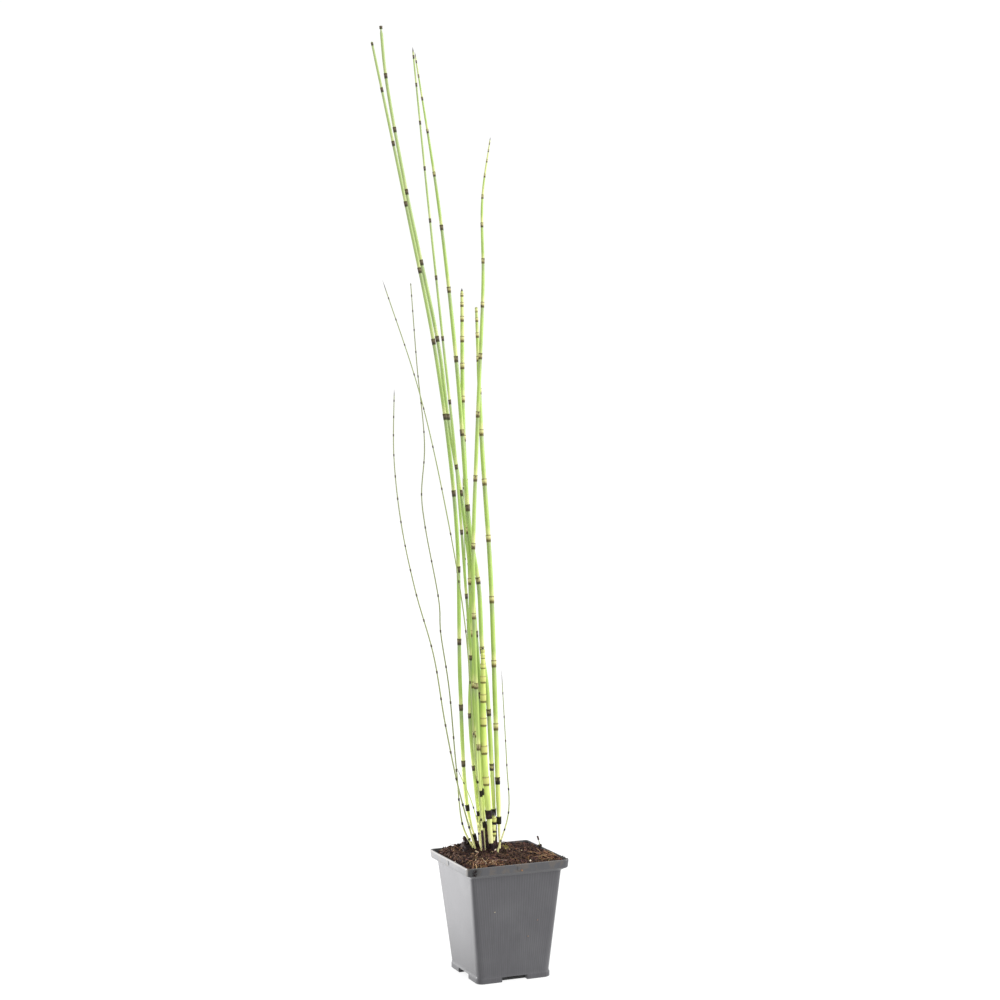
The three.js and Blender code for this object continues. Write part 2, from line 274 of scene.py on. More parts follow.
def boxes_round(size, distance, height):
    """One tool made of four boxes, one at the middle of each side of the pot."""
    bpy.ops.object.select_all(action="DESELECT")
    boxes = []
    for quarter in range(4):
        turn = Matrix.Rotation(quarter * math.pi / 2, 4, "Z")
        bpy.ops.mesh.primitive_cube_add(size=1)
        box = bpy.context.object
        place = Matrix.Translation((0, -distance * MM, height * MM))
        box.data.transform(turn @ place @ Matrix.Diagonal([*(side * MM for side in size), 1]))
        boxes.append(box)
    for box in boxes:
        box.select_set(True)
    bpy.ops.object.join()
    return bpy.context.object


def carve(piece, tool, operation):
    """Joins a tool to a piece or cuts it out of the piece, and removes the tool."""
    bpy.context.view_layer.objects.active = piece
    cut = piece.modifiers.new("cut", "BOOLEAN")
    cut.operation = operation
    cut.object = tool
    bpy.ops.object.modifier_apply(modifier="cut")
    bpy.data.objects.remove(tool)


def select_only(piece):
    bpy.ops.object.select_all(action="DESELECT")
    piece.select_set(True)
    bpy.context.view_layer.objects.active = piece


def smooth(piece, degrees):
    """Shades a piece smooth wherever its faces meet at less than an angle."""
    select_only(piece)
    bpy.ops.object.shade_smooth_by_angle(angle=math.radians(degrees))


bpy.ops.object.select_all(action="DESELECT")
bpy.ops.mesh.primitive_plane_add(size=BASE_SIDE * MM)
pot = bpy.context.object
pot.name = "pot_moulding"
bpy.ops.object.mode_set(mode="EDIT")
bpy.ops.mesh.select_all(action="SELECT")
bpy.ops.mesh.bevel(offset=FOOT_CORNER * MM, segments=6, affect="VERTICES")
pick(pot, "EDGE", lambda edge: edge.calc_length() > BASE_SIDE / 2 * MM)
bpy.ops.mesh.subdivide(number_cuts=SIDE_PARTS - 1)
pick(pot, "FACE", lambda face: True)
foot_band = [(FOOT_SIDE, 0.6), (FOOT_SIDE, 3.9), (FOOT_SIDE - 0.2, 4.4), (RIBS_FOOT[0], 5.4)]
climb_pot([*foot_band, RIBS_FOOT], BASE_SIDE, 0)
push_ribs(*RIBS_FOOT, RIB)
climb_pot([RIBS_HEAD], *RIBS_FOOT)
push_ribs(*RIBS_HEAD, -RIB)
collar = [
    (BODY_TOP, 90.4),
    (BODY_TOP + 1, 91),
    (RIM_SIDE - 1.6, 93.2),
    (RIM_SIDE - 1.1, 93.8),
    (RIM_SIDE - 0.8, 95),
    (RIM_SIDE - 0.2, 98.2),
    (RIM_SIDE, 99.4),
    (RIM_SIDE - 0.5, POT_HEIGHT),
]
climb_pot(collar, *RIBS_HEAD)
lining = [
    (RIM_SIDE - 1.8, POT_HEIGHT),
    (RIM_SIDE - 2.4, 99.4),
    (RIM_SIDE - 3.6, 94),
    (BODY_TOP - 2 * WALL, 91.2),
    (BODY_BOTTOM - 2 * WALL, BASE_THICKNESS),
]
climb_pot(lining, *collar[-1], WALL)


def is_nub(face):
    middle = face.calc_center_median() / MM
    outer = max(abs(middle.x), abs(middle.y)) > RIM_SIDE / 2 - 0.5
    return outer and 95 < middle.z < 98.2 and min(abs(middle.x), abs(middle.y)) < 0.8


pick(pot, "FACE", is_nub)
bpy.ops.mesh.extrude_region_shrink_fatten(TRANSFORM_OT_shrink_fatten={"value": NUB * MM})
bpy.ops.mesh.select_all(action="SELECT")
bpy.ops.mesh.normals_make_consistent(inside=False)
bpy.ops.object.mode_set(mode="OBJECT")
carve(pot, boxes_round(NOTCH_HOUSING, FOOT_SIDE / 2 - 4.2, 2.9), "UNION")
carve(pot, boxes_round(NOTCH, FOOT_SIDE / 2, 0), "DIFFERENCE")
carve(pot, boxes_round(DRAIN_SLOT, FOOT_SIDE / 2 - 7.2, 2.6), "DIFFERENCE")

plastic = Finish(bpy.data.materials.new("pot_plastic"))
streaks = plastic.clouds(0.0012, 3, (1, 1, 60))
blooms = plastic.clouds(0.03, 3)
fine = plastic.clouds(0.0004, 2)
rim = plastic.axis("Z").rise(0.09, 0.094)
dusty = plastic.clouds(0.006, 4) * rim
grey = plastic.ramp(streaks, (0.3, (0.049, 0.048, 0.054)), (0.7, (0.062, 0.06, 0.068)))
grey = plastic.tint(blooms.rise(0.45, 0.75) * 0.4, grey, (0.09, 0.09, 0.096))
# Painted shade: the collar and the rim are made darker than the walls below them.
grey = plastic.tint(rim * 0.42, grey, (0.03, 0.032, 0.035))
grey = plastic.tint(dusty.rise(0.5, 0.62) * 0.4, grey, (0.1, 0.075, 0.05))
SMUDGE = (-0.0397, -0.0456, 0.0964)
here = plastic.add("TexCoord", {}, {}, "Object")
from_smudge = plastic.add("VectorMath", {"operation": "DISTANCE"}, {0: here, 1: SMUDGE}, 1)
grey = plastic.tint(1 - from_smudge.rise(0.0008, 0.0085), grey, (0.004, 0.006, 0.006))
from_x = plastic.axis("X").maths("ABSOLUTE")
from_y = plastic.axis("Y").maths("ABSOLUTE")
across = from_x.maths("MAXIMUM", from_y)
# Painted shade: the insides of the drain notches are made near black.
painted_recess_shade = (1 - across.rise(0.0295, 0.0322)) * (1 - plastic.axis("Z").rise(0.004, 0.005))
grey = plastic.tint(painted_recess_shade, grey, (0.004, 0.004, 0.004))
# Painted shade: the lining inside the rim is made near black.
grey = plastic.tint(rim * (1 - across.rise(0.0446, 0.045)), grey, (0.008, 0.008, 0.01))
lip = plastic.axis("Z").rise(0.0978, 0.0995) * (1 - plastic.axis("X").rise(-0.0445, -0.0425))
grey = plastic.tint(lip * 0.6, grey, (0.062, 0.049, 0.036))
# Painted shade: dark lines run down the ribs of the walls, below the collar.
along = from_x.maths("MINIMUM", from_y)
narrowing = (FOOT_CORNER - RIM_CORNER) / POT_HEIGHT
to_corner = across - FOOT_CORNER * MM + plastic.axis("Z") * narrowing
painted_groove_shade = (along * (math.pi * SIDE_PARTS / 2) * to_corner**-1).maths("COSINE").rise(-0.6, 1)
grey = plastic.tint(painted_groove_shade * (1 - rim) * 0.45, grey, (0.034, 0.033, 0.037))
shine = 0.34 + 0.12 * blooms + 0.05 * streaks + 0.3 * (1 - plastic.axis("Z").rise(0.003, 0.006))
scratches = 0.5 * streaks + 0.5 * fine
scuffed = {"Sheen Weight": 0.35, "Sheen Roughness": 0.5, "IOR": 1.55}
pot.data.materials.clear()
pot.data.materials.append(plastic.surface(grey, shine, scratches, 0.00005, **scuffed))
smooth(pot, 28)
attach(pot, "root")
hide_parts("pot")


# ---- Peat ----
# Dark moist peat fills the pot almost to the rim and rises in a low mound round the stems. It is
# cut away over the drain notches, and its surface is loose, with crumbs of peat and bark on it.
SOIL_EDGE_Z = 96
MOUND = (-16, 22)
MOUND_HEIGHT = 10
MOUND_SPREAD = 32
PEAT_FOOT = (BODY_BOTTOM - 5, 1.8)  # the side and the height of its underside
PEAT_SHOULDER = (BODY_TOP - 4.6, 91.8)
PEAT_SIDE = RIM_SIDE - 4.2
PEAT_CORNER = 2.3
NOTCH_ROOM = (26, 15, 10)


def soil_height(x, y):
    """The surface's height in millimetres."""
    away = (x - MOUND[0]) ** 2 + (y - MOUND[1]) ** 2
    edge = max(abs(x), abs(y)) / (RIM_SIDE / 2 - 1)
    mound = MOUND_HEIGHT * math.exp(-away / (2 * MOUND_SPREAD**2)) * (1 - min(edge, 1) ** 12)
    ripples = 0.5 * math.sin(0.62 * x + 1.3) * math.cos(0.55 * y) + 0.4 * math.sin(x * 1.1 - y)
    return SOIL_EDGE_Z + mound + ripples


def soil_surface(x, y):
    """The same with its lumps and grains, the heap on the right and the dip at the rear left."""
    bumps = noise.fractal(Vector((x / 5, y / 5, 2)), 0.9, 2.1, 3)
    grains = noise.noise(Vector((x / 0.9, y / 0.9, 5)))
    heap = 2.2 * max(0, (x - 30) / 14) ** 2
    dip = 5.4 * max(0, (y - 22) / 22) ** 2 * min(1, max(0, (5 - x) / 20))
    return soil_height(x, y) + 0.7 * bumps + 0.35 * grains + (heap - dip)


bpy.ops.object.select_all(action="DESELECT")
bpy.ops.mesh.primitive_plane_add(size=PEAT_FOOT[0] * MM, location=(0, 0, PEAT_FOOT[1] * MM))
bpy.ops.object.transform_apply(location=True)
peat = bpy.context.object
peat.name = "peat_bed"
bpy.ops.object.mode_set(mode="EDIT")
bpy.ops.mesh.select_all(action="SELECT")
climb([PEAT_SHOULDER, (PEAT_SIDE, 94.8), (PEAT_SIDE, SOIL_EDGE_Z)], *PEAT_FOOT)
bpy.ops.mesh.select_all(action="SELECT")
bpy.ops.mesh.normals_make_consistent(inside=False)
bpy.ops.object.mode_set(mode="OBJECT")
carve(peat, boxes_round(NOTCH_ROOM, FOOT_SIDE / 2, 0.7), "DIFFERENCE")
bpy.ops.object.mode_set(mode="EDIT")
top = (SOIL_EDGE_Z - 0.1) * MM
pick(peat, "FACE", lambda face: face.calc_center_median().z > top)
bpy.ops.mesh.subdivide(number_cuts=62)
bpy.ops.mesh.subdivide(number_cuts=2)  # each square in nine
bpy.ops.object.mode_set(mode="OBJECT")
# The top takes its lumps, and the four upright edges are rounded to fit the pot's corners.
flat = PEAT_SIDE / 2 - PEAT_CORNER
for point in peat.data.vertices:
    if point.co.z > top:
        point.co.z = soil_surface(point.co.x / MM, point.co.y / MM) * MM
    beyond = Vector((abs(point.co.x), abs(point.co.y))) / MM - Vector((flat, flat))
    if min(beyond) > 0 and beyond.length > PEAT_CORNER:
        beyond *= PEAT_CORNER / beyond.length
        point.co.x = math.copysign((flat + beyond.x) * MM, point.co.x)
        point.co.y = math.copysign((flat + beyond.y) * MM, point.co.y)

earth = Finish(bpy.data.materials.new("peat"))
coarse = earth.clouds(0.004, 4)
grit = earth.clouds(0.0008, 3)
crumble = 0.5 * coarse + 0.5 * grit
brown = earth.ramp(
    crumble,
    (0.4, (0.006, 0.004, 0.004)),
    (0.5, (0.045, 0.026, 0.019)),
    (0.6, (0.108, 0.066, 0.046)),
    (0.7, (0.19, 0.115, 0.068)),
)
MAUVE = (1, 0.8, 0.98)
OLIVE = (0.94, 0.97, 0.8)
brown = earth.tint(earth.clouds(0.011, 2).rise(0.46, 0.6), brown, MAUVE, "MULTIPLY")
brown = earth.tint(earth.clouds(0.015, 2, (1, 1, 2)).rise(0.48, 0.62), brown, OLIVE, "MULTIPLY")
moist = {"Specular IOR Level": 0.15}
peat.data.materials.clear()
peat.data.materials.append(earth.surface(brown, 0.9, crumble, 0.0015, **moist))
smooth(peat, 50)
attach(peat, "root")
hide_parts("soil")


def lump(seed):
    """The mesh of one crumb: a ball of few faces, knocked out of shape."""
    bpy.ops.mesh.primitive_ico_sphere_add(subdivisions=1, radius=1)
    bpy.ops.object.mode_set(mode="EDIT")
    bpy.ops.mesh.select_all(action="SELECT")
    bpy.ops.transform.vertex_random(offset=0.35, uniform=0.6, normal=0.4, seed=seed)
    bpy.ops.object.mode_set(mode="OBJECT")
    mesh = bpy.context.object.data
    bpy.data.objects.remove(bpy.context.object)
    return mesh


def strew(name, copies, finish):
    """One piece made of a copy of a mesh at each place, with a tone for its colour."""
    heap = bmesh.new()
    tone_of = heap.verts.layers.float.new("tone")
    for shape, place, tone in copies:
        copy = shape.copy()
        copy.transform(place)
        first = len(heap.verts)
        heap.from_mesh(copy)
        heap.verts.ensure_lookup_table()
        for point in heap.verts[first:]:
            point[tone_of] = tone
        bpy.data.meshes.remove(copy)
    mesh = bpy.data.meshes.new(name)
    heap.to_mesh(mesh)
    heap.free()
    mesh.materials.append(finish)
    piece = bpy.data.objects.new(name, mesh)
    bpy.context.scene.collection.objects.link(piece)
    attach(piece, "root")


def turned(chance):
    """A turn any way round."""
    angles = [chance.uniform(0, 2 * math.pi) for _ in range(3)]
    turn = Matrix.Rotation(angles[0], 4, "Z") @ Matrix.Rotation(angles[1], 4, "X")
    return turn @ Matrix.Rotation(angles[2], 4, "Z")


FINE_CRUMBS = 2400
COARSE_CRUMBS = 330
CLUMP_CRUMBS = 240  # round the feet of the stems
BARK_CRUMBS = 110  # paler ones near the front left corner
CRUMB_REACH = 43.2
chance = random.Random(11)
lumps = [lump(seed) for seed in range(8)]
crumbs = []


def drop(x, y, size, tone, lift=0.3):
    """Adds a crumb of a size in millimetres that lies on the peat inside the rim."""
    shape = [size * chance.uniform(*limits) for limits in ((0.8, 1.5), (0.7, 1.2), (0.6, 0.9))]
    reach = CRUMB_REACH - max(shape)
    x, y = max(-reach, min(reach, x)), max(-reach, min(reach, y))
    place = Matrix.Translation(Vector((x, y, soil_surface(x, y) + lift * size)) * MM)
    turn = place @ turned(chance) @ Matrix.Scale(MM, 4)
    crumbs.append((chance.choice(lumps), turn @ Matrix.Diagonal([*shape, 1]), tone))


for _ in range(FINE_CRUMBS):
    size = 0.42 * math.exp(chance.gauss(0, 0.45))
    drop(chance.uniform(-44, 44), chance.uniform(-44, 44), size, 0.8 * chance.random() ** 1.4)
for _ in range(COARSE_CRUMBS):
    size = chance.uniform(0.9, 1.5)
    drop(chance.uniform(-43, 43), chance.uniform(-43, 43), size, 0.5 * chance.random() ** 1.5, 0.1)
for _ in range(CLUMP_CRUMBS):
    angle, away = chance.uniform(0, 2 * math.pi), 13 * math.sqrt(chance.random())
    drop(-10 + 1.3 * away * math.cos(angle), 4 + 0.8 * away * math.sin(angle), 1, 0.2, 0.2)
for _ in range(BARK_CRUMBS):
    drop(chance.gauss(-20, 7), chance.gauss(-30, 4), 0.6, chance.uniform(0.6, 0.84))

bits = Finish(bpy.data.materials.new("peat_bits"))
tone = bits.add("Attribute", {"attribute_name": "tone"}, {}, "Fac")
speckle = bits.clouds(0.0006, 2)
bit_colour = bits.ramp(
    0.8 * tone + 0.2 * speckle,
    (0.1, (0.011, 0.006, 0.006)),
    (0.35, (0.06, 0.034, 0.025)),
    (0.55, (0.135, 0.082, 0.058)),
    (0.7, (0.26, 0.145, 0.075)),
    (0.8, (0.42, 0.3, 0.16)),
    (0.88, (0.8, 0.74, 0.62)),
)
bit_colour = bits.tint(bits.clouds(0.0035, 1).rise(0.42, 0.58), bit_colour, MAUVE, "MULTIPLY")
bit_colour = bits.tint(bits.clouds(0.006, 1).rise(0.46, 0.6), bit_colour, OLIVE, "MULTIPLY")
dry = {"Specular IOR Level": 0.2}
bits.surface(bit_colour, 0.8, speckle, 0.0003, **dry)
strew("peat_crumbs", crumbs, bits.block)


# ---- Stems ----
# Scouring-rush horsetail: jointed hollow green stems, finely ridged, each length growing out of
# a toothed sheath on the joint below it. They stand in the peat and lean to the left, the old
# ones with their tips broken off and the young ones with short lengths crowded at the tip.
# Of each stem are given:
# route: points along its middle, from the peat up
# joints: how many lengths it has, where the longest one is as a share of the way down from the
#     tip, what share of it the lengths at the tip and the foot are, and how fast they grow and wane
# radii: at the foot and the tip, and how late the one gives way to the other
# looks: the tone of its skin and the tone of its sheaths
# husks: dry sheaths besides those at the joints, with their start, height, radius and tone
# dark: its lowest sheath is an old brown one
# bury: how deep it stands in the peat, where that isn't the usual depth
STEMS = {
    "stem_a": {
        "route": [(-9.5, 3.5, 106), (-10.5, 8.5, 150), (-9.5, 15, 247), (-16.5, 28, 388),
            (-26.5, 37.5, 473), (-31, 43, 528), (-53, 61, 668), (-66, 72, 766), (-68.5, 75.5, 808)],
        "joints": (14, 0.35, 0.64, 0.28, 1.7, 1),
        "radii": (1.75, 1.3, 1.8),
        "looks": (0.2, 0.25),
        "husks": [(0, 19, 1.9, -1)],
        "broken": True,
    },
    "stem_b": {
        "route": [(-16, 8, 106), (-24, 9.5, 140), (-29.5, 8, 242), (-31, 8, 380), (-44, 14, 516),
            (-66, 26, 652), (-88, 42, 786)],
        "joints": (14, 0.48, 0.63, 0.14, 1.06, 0.82),
        "radii": (1.65, 1, 3.5),
        "looks": (0.2, 0.3),
        "husks": [(0, 12, 1.3, -1)],
        "broken": True,
    },
    "stem_c": {
        "route": [(-13.5, 4.5, 106), (-24, 1.5, 217), (-23, -0.5, 268), (-27, -1, 330),
            (-34.5, -1.5, 436), (-44, 2, 544), (-54.5, 6, 666), (-62.5, 12, 778)],
        "joints": (16, 0.59, 0.15, 0.54, 0.65, 0.7),
        "radii": (1.25, 0.7, 2.4),
        "looks": (0.25, 0.3),
    },
    "stem_d": {
        "route": [(0.5, 8, 104), (-5, 8.5, 240), (-8.5, 9.5, 271), (-10.5, 10.5, 327),
            (-17, 12.5, 374), (-25.5, 15.5, 510), (-37.5, 21, 645), (-54, 30.5, 778)],
        "joints": (16, 0.6, 0.13, 0.48, 1.51, 1.04),
        "radii": (1.85, 0.5, 4),
        "looks": (0.3, 0.45),
        "husks": [(0, 22, 1.7, -1)],
    },
    "stem_e": {
        "route": [(-12.2, -0.6, 106), (-16, -1.5, 150), (-19, -3.5, 224), (-22, -6.5, 344),
            (-17, -8, 464), (-10, -7.5, 584), (-8.5, -4.5, 652), (-0.5, -4.5, 704)],
        "joints": (18, 0.75, 0.09, 0.35, 1.96, 1.83),
        "radii": (1.6, 0.4, 7),
        "looks": (0.45, 0.55),
    },
    "stem_f": {
        "route": [(-11.5, 13, 106), (-15.5, 13.5, 225), (-16.5, 15.7, 344), (-18.5, 21, 462),
            (-16, 26.5, 580)],
        "joints": (16, 0.68, 0.13, 0.52, 1.48, 0.59),
        "radii": (1.8, 1.2, 12),
        "looks": (0.4, 0.9),
        "husks": [(0, 18, 1.2, -1)],
    },
    "stem_g": {
        "route": [(2.5, 3, 104), (2.5, 9, 220), (3, 17, 336), (2, 31, 452), (5, 47, 566)],
        "joints": (15, 0.75, 0.02, 0.44, 1.75, 1.41),
        "radii": (1.97, 1.15, 6),
        "looks": (0.45, 0.8),
    },
    "stem_h": {
        "route": [(-14.5, -3, 104), (-23.5, -7, 202), (-31, -8.5, 299), (-45, -3.5, 396),
            (-63.5, 5.5, 492), (-88.5, 22, 585)],
        "joints": (15, 0.81, 0.36, 0.64, 1.1, 2.1),
        "radii": (0.65, 0.4, 1),
        "looks": (-0.8, 0),
        "husks": [(0, 19, 1, -1)],
    },
    "stem_i": {
        "route": [(-20.5, 7, 106), (-27, 13, 124), (-29, 21.5, 172), (-30.5, 32.5, 240),
            (-35, 39.5, 289), (-35, 41, 310), (-44, 49.5, 378), (-46, 51.5, 404), (-43, 50.5, 447),
            (-48, 53, 516), (-53, 52, 586)],
        "joints": (22, 0.7, 0.05, 0.24, 0.6, 0.8),
        "radii": (0.65, 0.4, 1),
        "looks": (-1.4, 0),
    },
    "stem_j": {
        "route": [(-19.5, 4.5, 106), (-35, 2, 160), (-46, 2, 215), (-55.5, 1.5, 272),
            (-69, 6.5, 326), (-79, 11, 382), (-83, 15.5, 438), (-80.5, 19.5, 494)],
        "joints": (20, 0.88, 0.4, 0.84, 0.5, 3),
        "radii": (0.7, 0.4, 1),
        "looks": (-1.3, 0),
    },
    "stem_n": {
        "route": [(-2.5, -4.5, 104), (5, -11.5, 137), (3, -14, 177), (0.5, -11, 258)],
        "joints": (9, 0.58, 0.96, 0.45, 2, 3),
        "radii": (0.55, 0.35, 1),
        "looks": (-0.8, 0),
    },
    "wisp_p": {
        "route": [(-15.5, 0, 105), (-22, 0, 141), (-35.5, 3, 176)],
        "joints": (4, 0.5, 0.6, 0.6, 1.3, 1),
        "radii": (0.55, 0.35, 1),
        "looks": (-0.4, 0),
    },
    "wisp_q": {
        "route": [(-8, 16.5, 106), (-12.5, 26.5, 210), (-13, 33.5, 315), (-13, 38, 420)],
        "joints": (8, 0.67, 0.16, 0.35, 1.3, 1),
        "radii": (0.6, 0.4, 1),
        "looks": (-0.4, 0),
        "husks": [(0, 15, 1.1, -1)],
    },
    "shoot_l": {
        "route": [(-7.5, -3.2, 104), (-12.5, -2, 190), (-11.5, 0.5, 276)],
        "joints": (10, 1, 0.13, 1, 1.6, 1),
        "radii": (2.5, 1.5, 7),
        "looks": (1, 1),
        "husks": [(0, 7, 2.1, -1)],
        "dark": True,
    },
    "shoot_o": {
        "route": [(-4.5, 2.5, 104), (-3.5, 2, 120), (-3, 2, 136)],
        "joints": (3, 1, 0.7, 1, 1.3, 1),
        "radii": (2.35, 1.8, 4),
        "looks": (1, 1),
        "husks": [(0, 8, 2.1, -1), (14.4, 1.8, 2.3, -1), (21.4, 1.8, 2.35, -1)],
    },
    "stub_s": {
        "route": [(-24, 13, 102), (-24.5, 13, 108), (-25.5, 14, 114)],
        "joints": (2, 1, 0.6, 1, 1.3, 1),
        "radii": (3, 1.5, 1),
        "looks": (-1, -1),
        "broken": True,
    },
    "sprout_w": {
        "route": [(40, 5.5, 97), (40.5, 6, 104), (39.5, 8.5, 111)],
        "joints": (2, 1, 0.3, 1, 1.3, 1),
        "radii": (0.28, 0.22, 1),
        "looks": (-2, 0),
        "husks": [(0, 6, 0.7, -1), (10.6, 3.4, 0.7, -1)],
        "bury": 4,
    },
}
SPAN_STEPS = 40
BURY = 18  # how deep a stem stands in the peat
WIRY = 0.75  # a stem with a thinner foot than this is wiry
STEM_POINTS = 36  # two for each of its 18 ridges
WIRY_POINTS = 12
RING_GAP = 8  # the most between two rings of a stem
BUD_RINGS = 7  # the fewest in the last length of a growing stem
RIPE = 28  # the shorter lengths, near a growing tip, are still pale
WAIST = 0.37
WIRY_WAIST = 1.4
SHOOT_WAIST = 0.75
WAIST_HEIGHT = 42  # it has its full radius from here up
YELLOW = 1  # the tone of a shoot


class Route:
    """The centripetal Catmull-Rom curve through a stem's points, measured in millimetres."""

    def __init__(self, route):
        marks = [Vector(point) for point in route]
        marks = [2 * marks[0] - marks[1], *marks, 2 * marks[-1] - marks[-2]]
        self.points = [marks[1]]
        for four in zip(marks, marks[1:], marks[2:], marks[3:]):
            self.add_span(*four)
        self.reach = [0]
        for start, end in zip(self.points, self.points[1:]):
            self.reach.append(self.reach[-1] + (end - start).length)
        self.length = self.reach[-1]

    def add_span(self, before, start, end, after):
        steps = ((before, start), (start, end), (end, after))
        d0, d1, d2 = (math.sqrt((there - here).length) for here, there in steps)
        leave = ((start - before) / d0 - (end - before) / (d0 + d1) + (end - start) / d1) * d1
        arrive = ((end - start) / d1 - (after - start) / (d1 + d2) + (after - end) / d2) * d1
        square = 3 * (end - start) - 2 * leave - arrive
        cube = 2 * (start - end) + leave + arrive
        for step in range(1, SPAN_STEPS + 1):
            t = step / SPAN_STEPS
            self.points.append(start + leave * t + square * t**2 + cube * t**3)

    def at(self, distance):
        """The point so far along the stem. Below its foot the stem goes straight down."""
        if distance <= 0:
            return self.points[0] + Vector((0, 0, distance))
        after = min(bisect.bisect_left(self.reach, distance), len(self.reach) - 1)
        share = (distance - self.reach[after - 1]) / (self.reach[after] - self.reach[after - 1])
        return self.points[after - 1].lerp(self.points[after], min(share, 1))

    def turn(self, distance):
        """The turn from upright to the stem's own direction."""
        ahead = self.at(min(distance + 1, self.length)) - self.at(min(distance, self.length - 1))
        return ahead.to_track_quat("Z", "Y").to_matrix().to_4x4()


def joint_places(stem, length):
    """How far along the stem its joints are, from the top one down."""
    count, peak_share, tip, foot, rise, fall = stem["joints"]
    last = count - 1
    peak = peak_share * last
    shares = []
    for number in range(count):
        if number <= peak:
            shares.append(tip + (1 - tip) * math.sin(math.pi / 2 * number / peak) ** rise)
        else:
            wane = math.cos(math.pi / 2 * ((number - peak) / (last - peak))) ** fall
            shares.append(foot + (1 - foot) * wane)
    places = [length]
    for share in shares:
        places.append(places[-1] - share / sum(shares) * length)
    return places


def ridged_circle(points, depth):
    """A circle of a millimetre's radius with every second point drawn in, as a curve."""
    bpy.ops.object.select_all(action="DESELECT")
    bpy.ops.mesh.primitive_circle_add(vertices=points, radius=MM)
    circle = bpy.context.object
    bpy.ops.object.mode_set(mode="EDIT")
    pick(circle, "VERT", lambda point: point.index % 2)
    bpy.ops.transform.resize(value=(1 - depth,) * 3, center_override=(0, 0, 0))
    bpy.ops.object.mode_set(mode="OBJECT")
    bpy.ops.object.convert(target="CURVE")
    return bpy.context.object


CUP_RINGS = ((1.07, 0.05), (1.09, 0.3), (1.12, 0.62), (1.16, 0.84), (1.16, 0.92))
TOOTH = 0.1  # how far it stands above the last ring
CUP_WALL = 0.05


def sheath_model(points):
    """A sheath of unit radius and height: a ribbed cup with a tooth on every rib."""
    bpy.ops.object.select_all(action="DESELECT")
    bpy.ops.mesh.primitive_circle_add(vertices=points, radius=1)
    sheath = bpy.context.object
    bpy.ops.object.mode_set(mode="EDIT")
    bpy.ops.mesh.select_all(action="SELECT")
    width, height = 1, 0
    for next_width, next_height in CUP_RINGS:
        rise = {"value": (0, 0, next_height - height)}
        bpy.ops.mesh.extrude_region_move(TRANSFORM_OT_translate=rise)
        scale = next_width / width
        bpy.ops.transform.resize(value=(scale, scale, 1), center_override=(0, 0, 0))
        width, height = next_width, next_height
    pick(sheath, "VERT", lambda point: point.co.z > 0.9 and point.index % 2)
    bpy.ops.transform.translate(value=(0, 0, TOOTH))
    pick(sheath, "VERT", lambda point: point.co.z > 0.04 and point.index % 2 == 0)
    bpy.ops.transform.resize(value=(0.97, 0.97, 1), center_override=(0, 0, 0))
    bpy.ops.object.mode_set(mode="OBJECT")
    wall = sheath.modifiers.new("wall", "SOLIDIFY")
    wall.thickness = CUP_WALL
    wall.offset = -1
    bpy.ops.object.modifier_apply(modifier="wall")
    mesh = sheath.data
    bpy.data.objects.remove(sheath)
    return mesh


def full_radius(stem, route, distance):
    """A stem's radius so far along it, before it narrows towards its foot."""
    foot, tip, fullness = stem["radii"]
    return foot + (tip - foot) * (max(distance, 0) / route.length) ** fullness


def waist_of(stem):
    """The radius at a stem's foot, as a share of its full one."""
    if stem["radii"][0] < WIRY:
        return WIRY_WAIST
    return SHOOT_WAIST if stem["looks"][0] == YELLOW else WAIST


def sheath_halves(stem, route, joints):
    """Half the height of the sheath at each joint, and none at the tip and the foot."""
    halves = [0]
    for upper, joint, lower in zip(joints, joints[1:], joints[2:]):
        tall = 1.2 + 2.5 * full_radius(stem, route, joint)
        halves.append(min(tall, 0.5 * min(upper - joint, joint - lower)) / 2)
    halves.append(0)
    return halves


def stations_of(stem, route, joints, halves):
    """Rings of a stem from foot to tip: distance, radius, place in the internode, bud."""
    foot, tip, _ = stem["radii"]
    narrow = waist_of(stem)
    stations = [(-stem.get("bury", BURY), narrow * foot, 0.3, 0)]
    ends = zip(joints[::-1], joints[-2::-1], halves[::-1], halves[-2::-1])
    for lower, upper, half, next_half in ends:
        start, end = lower + half, upper - next_half
        growing = upper == route.length and "broken" not in stem
        if growing:
            end = upper
        rings = max(3, math.ceil((end - start) / RING_GAP), BUD_RINGS * growing)
        ripe = min(1, (end - start) / RIPE) ** 2
        for ring in range(rings + 1):
            share = ring / rings
            distance = start + (end - start) * share
            above = min(max(distance / WAIST_HEIGHT, 0), 1)
            waist = narrow + (1 - narrow) * above * above * (3 - 2 * above)
            swell = 0.97 + 0.04 * math.sin(math.pi * share)
            bud = 0
            if growing:
                swell *= max(0.12, 1 - share**2.2)
                bud = min(1, max(0, (share - 0.25) * 3))
            radius = swell * waist * full_radius(stem, route, distance)
            stations.append((distance, radius, ripe * share, bud))
    if "broken" in stem:
        stations.append((route.length - 0.4, 0.97 * tip, 0.1, 0.5))
        stations.append((route.length, 0.9 * tip, 0, 1))
    return stations


def sweep(name, profile, places):
    """The mesh of a profile swept along places, each with a radius in millimetres."""
    curve = bpy.data.curves.new(name, "CURVE")
    curve.dimensions = "3D"
    curve.bevel_mode = "OBJECT"
    curve.bevel_object = profile
    curve.use_fill_caps = True
    path = curve.splines.new("POLY")
    path.points.add(len(places) - 1)
    for point, (place, radius) in zip(path.points, places):
        point.co = (*(place * MM), 1)
        point.radius = radius
    piece = bpy.data.objects.new(name, curve)
    bpy.context.scene.collection.objects.link(piece)
    select_only(piece)
    bpy.ops.object.convert(target="MESH")
    return bpy.context.object


def add_values(mesh, **layers):
    for name, values in layers.items():
        mesh.attributes.new(name, "FLOAT", "POINT").data.foreach_set("value", values)


PROFILES = {
    STEM_POINTS: ridged_circle(STEM_POINTS, depth=0.07),
    WIRY_POINTS: ridged_circle(WIRY_POINTS, depth=0.1),
}
SHEATHS = {points: sheath_model(points) for points in PROFILES}


